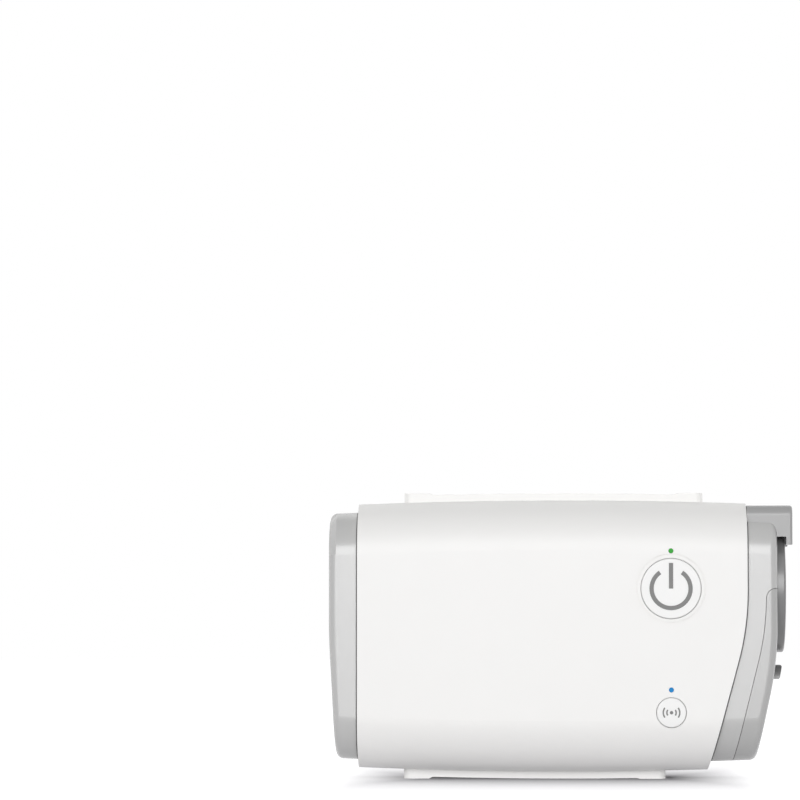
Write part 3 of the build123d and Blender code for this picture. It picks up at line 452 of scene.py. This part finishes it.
# Dark rubber strips in the seams between the end caps and the casing: part seal, part painted shade, their
# darkness standing in for the shade line in the seams.
SEAM_SHADE_RUBBER = Rubber("edge_rubber", (0.21, 0.21, 0.21), 0.6, 0.1)
SILICONE = Rubber("silicone", (0.42, 0.44, 0.46), 0.5, 0.1)
SEAL_FOAM = Foam("foam_seal", (0.06, 0.06, 0.065), 0.5 * MM, 0.1 * MM, 0.1)
MUFFLER = Foam("muffler_foam", (0.09, 0.09, 0.1), 1.1 * MM)
FILTER_FELT = Foam("filter_pad", (0.80, 0.81, 0.83), 0.7 * MM, 0.2 * MM, 0.5)
GREEN_LENS = Lens("lens_green", (0.05, 0.38, 0.05), 0.04)
BLUE_LENS = Lens("lens_blue", (0.02, 0.25, 0.60), 0.04)
GREEN_DIODE = Lens("led_green", (0.3, 0.7, 0.2), 0.6)
BLUE_DIODE = Lens("led_blue", (0.1, 0.35, 0.85), 0.6)
BOARD = Circuit("circuit_board", (0.02, 0.13, 0.06))
COPPER = Winding("copper_wire", (0.72, 0.33, 0.14))


class Wardrobe:
    """Makes each finish once and puts it on CAD nodes and on added pieces."""

    def __init__(self) -> None:
        """Starts with no material made."""
        self.made: dict[str, bpy.types.Material] = {}

    def put(self, piece: bpy.types.Object, finish: Finish) -> None:
        """Gives a piece one finish all over, and makes its material at its first use."""
        if finish.name not in self.made:
            self.made[finish.name] = finish.material()
        piece.data.materials.clear()
        piece.data.materials.append(self.made[finish.name])

    def dress(self, finishes: dict[str, Finish]) -> None:
        """Puts finishes on CAD nodes.

        Args:
            finishes: finish of each node, by the node's name.
        """
        for node, finish in finishes.items():
            self.put(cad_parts[node], finish)
            LOG.info("%s wears %s", node, finish.name)


WARDROBE = Wardrobe()


# ---------------------------------------------------------------- sub-assemblies
@dataclass
class SubAssembly:
    """A part of the machine: its CAD nodes and their finishes."""

    finishes: dict[str, Finish] = field(default_factory=dict)

    def dress(self) -> None:
        """Puts the finishes on."""
        WARDROBE.dress(self.finishes)


@dataclass
class Casing(SubAssembly):
    """White casing halves, rails, rear feet and casing screws."""

    finishes: dict[str, Finish] = field(default_factory=lambda: {
        "front_shell": WHITE_CASING,
        "rear_shell": WHITE_CASING,
        "top_rail": WHITE_CASING,
        "bottom_rail": WHITE_CASING,
        "rear_feet": FEET_RUBBER,
        "shell_screws": DARK_STEEL,
    })


@dataclass
class InletEnd(SubAssembly):
    """Filter cover, filter, gasket, frame and muffler at the left."""

    finishes: dict[str, Finish] = field(default_factory=lambda: {
        "filter_cover": GRAY_CAP,
        "inlet_edge_seal": SEAM_SHADE_RUBBER,
        "inlet_frame": INNER_PLASTIC,
        "inlet_gasket": SEAL_FOAM,
        "air_filter": FILTER_FELT,
        "muffler_foam": MUFFLER,
    })


@dataclass
class OutletEnd(SubAssembly):
    """End cap, lower panel, hood, collar and power socket at the right."""

    finishes: dict[str, Finish] = field(default_factory=lambda: {
        "outlet_end_cap": GRAY_CAP,
        "outlet_edge_seal": SEAM_SHADE_RUBBER,
        "port_panel": PANEL_GRAY,
        "outlet_hood": SILVER_TRIM,
        "outlet_collar": COLLAR_GRAY,
        "outlet_seal": SILICONE,
        "power_socket": COLLAR_GRAY,
        "power_pin": CONTACT,
        "socket_board": BOARD,
        "pressure_sensor": CHIP_BLACK,
    })


@dataclass
class Blower(SubAssembly):
    """Motor, fan, scroll, soft mounts and the way out."""

    finishes: dict[str, Finish] = field(default_factory=lambda: {
        "scroll_front_half": BLOWER_PLASTIC,
        "scroll_rear_half": BLOWER_PLASTIC,
        "impeller": IMPELLER_PLASTIC,
        "motor_shaft": GROUND_STEEL,
        "rotor_magnet": MAGNET,
        "motor_can": CAN_STEEL,
        "motor_bearings": GROUND_STEEL,
        "stator_core": LAMINATION,
        "stator_coils": COPPER,
        "motor_connector": BLACK_PLASTIC,
        "blower_mounts": SILICONE,
        "blower_screws": ZINC_STEEL,
        "duct_coupling": SILICONE,
        "outlet_duct": BLOWER_PLASTIC,
    })


@dataclass
class Electronics(SubAssembly):
    """Inner frame, board, switches and lamps."""

    finishes: dict[str, Finish] = field(default_factory=lambda: {
        "chassis": INNER_PLASTIC,
        "main_board": BOARD,
        "board_chips": CHIP_BLACK,
        "board_screws": ZINC_STEEL,
        "power_switch": SWITCH_BODY,
        "wireless_switch": SWITCH_BODY,
        "power_plunger": BLACK_PLASTIC,
        "wireless_plunger": BLACK_PLASTIC,
        "green_led": GREEN_DIODE,
        "blue_led": BLUE_DIODE,
        "green_light_pipe": GREEN_LENS,
        "blue_light_pipe": BLUE_LENS,
    })


@dataclass
class ButtonFace:
    """One round button and the symbol printed on it.

    The symbol is a thin layer of ink that follows the button's slightly bowed face.

    Attributes:
        node: the button's CAD node.
        body: the rigid body that the button belongs to.
        symbol: name of the printed piece.
        face_radius: radius of the face's bow in metres.
        ink: height of the ink over the face, and its depth under it.
        segments: steps in a full turn of an arc.
        fewest_steps: steps in the shortest arc.
        weld: distance at which corners are joined.
    """

    node: str
    body: Body
    symbol: str
    face_radius: float = 2.5
    ink: float = 0.03 * MM
    segments: int = 72
    fewest_steps: int = 8
    weld: float = 0.0001 * MM

    def middle(self) -> Vector:
        """Centre of the button's face, on its front."""
        low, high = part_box(self.node)
        return Vector(((low.x + high.x) / 2, low.y, (low.z + high.z) / 2))

    def on_face(self, across: float, up: float, lift: float) -> Vector:
        """A point of the face, raised by lift.

        Args:
            across: distance to the right of the button's middle.
            up: distance above it.
            lift: height over the face.

        Returns:
            The point in the shared frame.
        """
        centre = self.middle()
        here, at_centre = (
            self.face_radius - math.sqrt(self.face_radius**2 - x**2) for x in (centre.x + across, centre.x)
        )
        return Vector((centre.x + across, centre.y + here - at_centre - lift, centre.z + up))

    def band(self, mesh: bmesh.types.BMesh, inner: float, outer: float, start: float, stop: float) -> None:
        """Adds a flat arc round the middle, or a disc where inner is zero.

        Args:
            mesh: mesh that the arc is added to.
            inner: inner radius.
            outer: outer radius.
            start: first angle in degrees, anticlockwise from the right.
            stop: last angle.
        """
        steps = max(self.fewest_steps, int(self.segments * abs(stop - start) / TURN))
        corners = ((inner, self.ink), (outer, self.ink), (outer, -self.ink), (inner, -self.ink))
        sections = []
        for step in range(steps + 1):
            angle = math.radians(start + (stop - start) * step / steps)
            sections.append([
                mesh.verts.new(self.on_face(radius * math.cos(angle), radius * math.sin(angle), lift))
                for radius, lift in corners
            ])
        sides = 4 if inner > 0 else 3
        for here, beyond in zip(sections, sections[1:]):
            for i in range(sides):
                j = (i + 1) % 4
                mesh.faces.new((here[i], here[j], beyond[j], beyond[i]))
        if abs(stop - start) < TURN:
            mesh.faces.new(sections[0])
            mesh.faces.new(sections[-1])

    def bar(self, mesh: bmesh.types.BMesh, low: float, high: float, width: float) -> None:
        """Adds an upright bar from low to high above the middle."""
        corners = [(-width / 2, low), (width / 2, low), (width / 2, high), (-width / 2, high)]
        top, under = (
            [mesh.verts.new(self.on_face(x, z, lift)) for x, z in corners] for lift in (self.ink, -self.ink)
        )
        mesh.faces.new(top)
        mesh.faces.new(under[::-1])
        for i in range(4):
            j = (i + 1) % 4
            mesh.faces.new((top[j], top[i], under[i], under[j]))

    def print_symbol(self, draw: Callable[[bmesh.types.BMesh], None]) -> None:
        """Makes the printed layer and lets it ride on the button.

        Args:
            draw: adds the symbol's strokes to a mesh.
        """
        mesh = bmesh.new()
        draw(mesh)
        bmesh.ops.remove_doubles(mesh, verts=mesh.verts, dist=self.weld)
        bmesh.ops.recalc_face_normals(mesh, faces=mesh.faces)
        data = bpy.data.meshes.new(self.symbol)
        mesh.to_mesh(data)
        mesh.free()
        piece = bpy.data.objects.new(self.symbol, data)
        bpy.context.scene.collection.objects.link(piece)
        WARDROBE.put(piece, SYMBOL_INK)
        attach(piece, self.body.value)
        LOG.info("%s rides on %s", self.symbol, self.body.value)


@dataclass
class Controls(SubAssembly):
    """Power and wireless buttons with their printed symbols.

    Attributes:
        stroke: width of the power symbol's lines in metres.
        power_ring: outer radius of its ring.
        power_gap: degrees from upright to each end of the ring.
        power_bar: height of its bar over the middle.
        wave_stroke: width of the wireless symbol's arcs.
        wave_radii: their middle radii.
        wave_spread: degrees from level to each end of an arc.
        dot: radius of the dot between them.
    """

    finishes: dict[str, Finish] = field(default_factory=lambda: {
        "power_button": WHITE_BUTTON,
        "wireless_button": WHITE_BUTTON,
    })
    stroke: float = 1.24 * MM
    power_ring: float = 6.3 * MM
    power_gap: float = 34.3
    power_bar: float = 7.46 * MM
    wave_stroke: float = 0.42 * MM
    wave_radii: Span = (1.35 * MM, 2.4 * MM)
    wave_spread: float = 36.0
    dot: float = 0.5 * MM

    def draw_power(self, face: ButtonFace, mesh: bmesh.types.BMesh) -> None:
        """Broken ring with an upright bar through its gap."""
        start, stop = UPRIGHT + self.power_gap, UPRIGHT + TURN - self.power_gap
        face.band(mesh, self.power_ring - self.stroke, self.power_ring, start, stop)
        face.bar(mesh, 0.0, self.power_bar, self.stroke)

    def draw_waves(self, face: ButtonFace, mesh: bmesh.types.BMesh) -> None:
        """Dot with two arcs to each side."""
        face.band(mesh, 0.0, self.dot, 0.0, TURN)
        for radius in self.wave_radii:
            inner, outer = radius - self.wave_stroke / 2, radius + self.wave_stroke / 2
            for side in (0.0, TURN / 2):
                face.band(mesh, inner, outer, side - self.wave_spread, side + self.wave_spread)

    def dress(self) -> None:
        """Puts the finishes on the buttons and prints the symbols."""
        super().dress()
        power = ButtonFace("power_button", Body.POWER_KEY, "power_symbol")
        power.print_symbol(lambda mesh: self.draw_power(power, mesh))
        wireless = ButtonFace("wireless_button", Body.WIRELESS_KEY, "wireless_symbol", segments=48)
        wireless.print_symbol(lambda mesh: self.draw_waves(wireless, mesh))


# ---------------------------------------------------------------- studio
@dataclass(frozen=True)
class Softbox:
    """Square area lamp that looks at the machine.

    Attributes:
        name: the lamp's name.
        place: its middle in metres.
        size: length of a side in metres.
        power: its power in watts.
        glossy: whether it shows in reflections.
    """

    name: str
    place: Point
    size: float
    power: float
    glossy: bool = True

    def build(self, target: Vector) -> None:
        """Makes the lamp and turns it to the target."""
        data = bpy.data.lights.new(self.name, "AREA")
        data.shape = "SQUARE"
        data.size = self.size
        data.energy = self.power
        lamp = bpy.data.objects.new(self.name, data)
        lamp.location = self.place
        lamp.visible_glossy = self.glossy
        lamp.rotation_euler = (target - Vector(self.place)).to_track_quat("-Z", "Y").to_euler()
        bpy.context.scene.collection.objects.link(lamp)


@dataclass
class Studio:
    """Pale floor, white surroundings, soft lamps and the camera.

    Attributes:
        floor_half: half the floor's side in metres.
        floor_color: colour of the matt part of the floor.
        floor_lift: strength of the floor's own light.
        floor_bounce: share of that light that reaches the machine.
        painted_shadow_reach: how near the machine the painted shadow dims the floor's own light, in metres.
        painted_shadow_depth: power that deepens the painted shadow.
        painted_shadow_middle: x of the painted shadow's middle.
        painted_shadow_ends: distances along x from there between which the painted shadow runs out.
        ambient: strength of the surroundings as a light.
        picture: side of the picture in pixels.
        picture_scale: metres per pixel in the machine's mid-plane.
        middle_pixel: where the machine's middle comes in the picture.
        distance: from the camera to the machine's mid-plane in metres.
        sensor: width of the camera's sensor in millimetres.
        clip: nearest and farthest distance that the camera shows.
        lamp_target: the point that the lamps look at.
        boxes: the lamps.
    """

    floor_half: float = 6.0
    floor_color: Color = (0.40, 0.393, 0.412)
    floor_lift: float = 0.9
    floor_bounce: float = 0.25
    painted_shadow_reach: float = 0.16
    painted_shadow_depth: float = 2.4
    painted_shadow_middle: float = -0.004
    painted_shadow_ends: Span = (0.036, 0.062)
    ambient: float = 0.33
    picture: float = 800.0
    picture_scale: float = 0.2985 * MM
    middle_pixel: Span = (560.4, 635.8)
    distance: float = 1.25
    sensor: float = 36.0
    clip: Span = (0.01, 50.0)
    lamp_target: Point = (0.0, 0.0, 0.04)
    boxes: tuple[Softbox, ...] = (
        Softbox("front_softbox", (-0.1, -2.2, 0.25), 1.7, 46.0),
        Softbox("rear_softbox", (0.1, 1.5, 1.7), 1.4, 3.0),
        Softbox("left_softbox", (-2.0, 1.15, 0.5), 1.5, 26.0, glossy=False),
        Softbox("right_softbox", (2.0, 1.15, 0.5), 1.5, 26.0, glossy=False),
    )

    def floor_material(self) -> bpy.types.Material:
        """Matt floor that runs into the white behind it, with a painted soft shadow under the machine.

        The floor's own light is full for the eye and for reflections and weaker as a
        bounce. Ambient occlusion dims it near the machine as a painted shadow, less so towards the
        machine's ends.

        Returns:
            The floor's material.
        """
        material = bpy.data.materials.new("floor")
        material.use_nodes = True
        sheet = StudioSheet(material.node_tree)
        place = sheet.add("SeparateXYZ", {0: sheet.add("TexCoord").outputs["Object"]}).outputs["X"]
        across = sheet.math("ABSOLUTE", sheet.math("SUBTRACT", place, self.painted_shadow_middle))
        first, last = self.painted_shadow_ends
        ends = sheet.add("MapRange", {"Value": across, "From Min": first, "From Max": last}).outputs[0]
        # Painted shadow: ambient occlusion near the machine dims the floor's own glow, lifted towards the
        # machine's ends.
        nearness = sheet.add("AmbientOcclusion", {"Distance": self.painted_shadow_reach}).outputs["AO"]
        painted_shadow_factor = sheet.math("MAXIMUM", sheet.math("POWER", nearness, self.painted_shadow_depth), ends)
        seen = sheet.seen()
        bounce = sheet.math("MULTIPLY", sheet.math("SUBTRACT", 1.0, seen), self.floor_bounce)
        level = sheet.math("MAXIMUM", sheet.math("MULTIPLY", seen, painted_shadow_factor), bounce)
        glow = sheet.add("Emission", {"Strength": sheet.math("MULTIPLY", level, self.floor_lift)})
        matt = sheet.add("BsdfDiffuse", {"Color": self.floor_color})
        total = sheet.add("AddShader", {0: matt.outputs[0], 1: glow.outputs[0]})
        sheet.add("OutputMaterial", {"Surface": total.outputs[0]})
        return material

    def build_floor(self) -> None:
        """Makes the plain floor."""
        half = self.floor_half
        corners = [(-half, -half, 0), (half, -half, 0), (half, half, 0), (-half, half, 0)]
        data = bpy.data.meshes.new("floor")
        data.from_pydata(corners, [], [(0, 1, 2, 3)])
        floor = bpy.data.objects.new("floor", data)
        bpy.context.scene.collection.objects.link(floor)
        data.materials.append(self.floor_material())

    def build_world(self) -> None:
        """White surroundings for the eye, and an even, weaker light for the machine."""
        world = bpy.data.worlds.new("studio")
        bpy.context.scene.world = world
        world.use_nodes = True
        sheet = StudioSheet(world.node_tree)
        level = sheet.span(sheet.seen(), self.ambient, 1.0)
        back = sheet.add("Background", {"Color": WHITE, "Strength": level})
        sheet.add("OutputWorld", {"Surface": back.outputs[0]})

    def build_camera(self) -> None:
        """Camera square to the machine's front, turned so that the machine sits low and to the right."""
        low, high = CAD_BOX
        middle = Vector((0.0, 0.0, (low.z + high.z) / 2))
        across = (self.picture / 2 - self.middle_pixel[0]) * self.picture_scale
        up = (self.middle_pixel[1] - self.picture / 2) * self.picture_scale
        data = bpy.data.cameras.new("camera")
        data.sensor_width = self.sensor
        data.lens = self.sensor * self.distance / (self.picture * self.picture_scale)
        data.clip_start, data.clip_end = self.clip
        camera = bpy.data.objects.new("camera", data)
        camera.location = middle + Vector((0.0, -self.distance, 0.0))
        aim = middle + Vector((across, 0.0, up))
        camera.rotation_euler = (aim - camera.location).to_track_quat("-Z", "Y").to_euler()
        bpy.context.scene.collection.objects.link(camera)
        bpy.context.scene.camera = camera

    def build(self) -> None:
        """Makes the whole studio."""
        self.build_camera()
        self.build_world()
        self.build_floor()
        for box in self.boxes:
            box.build(Vector(self.lamp_target))
        bpy.context.scene.view_settings.view_transform = "Standard"


def main() -> None:
    """Builds the studio, then dresses the machine sub-assembly by sub-assembly."""
    logging.basicConfig(level=logging.INFO, format="%(name)s: %(message)s")
    Studio().build()
    for assembly in (Casing(), InletEnd(), OutletEnd(), Blower(), Electronics(), Controls()):
        assembly.dress()


if __name__ == "__main__":
    main()
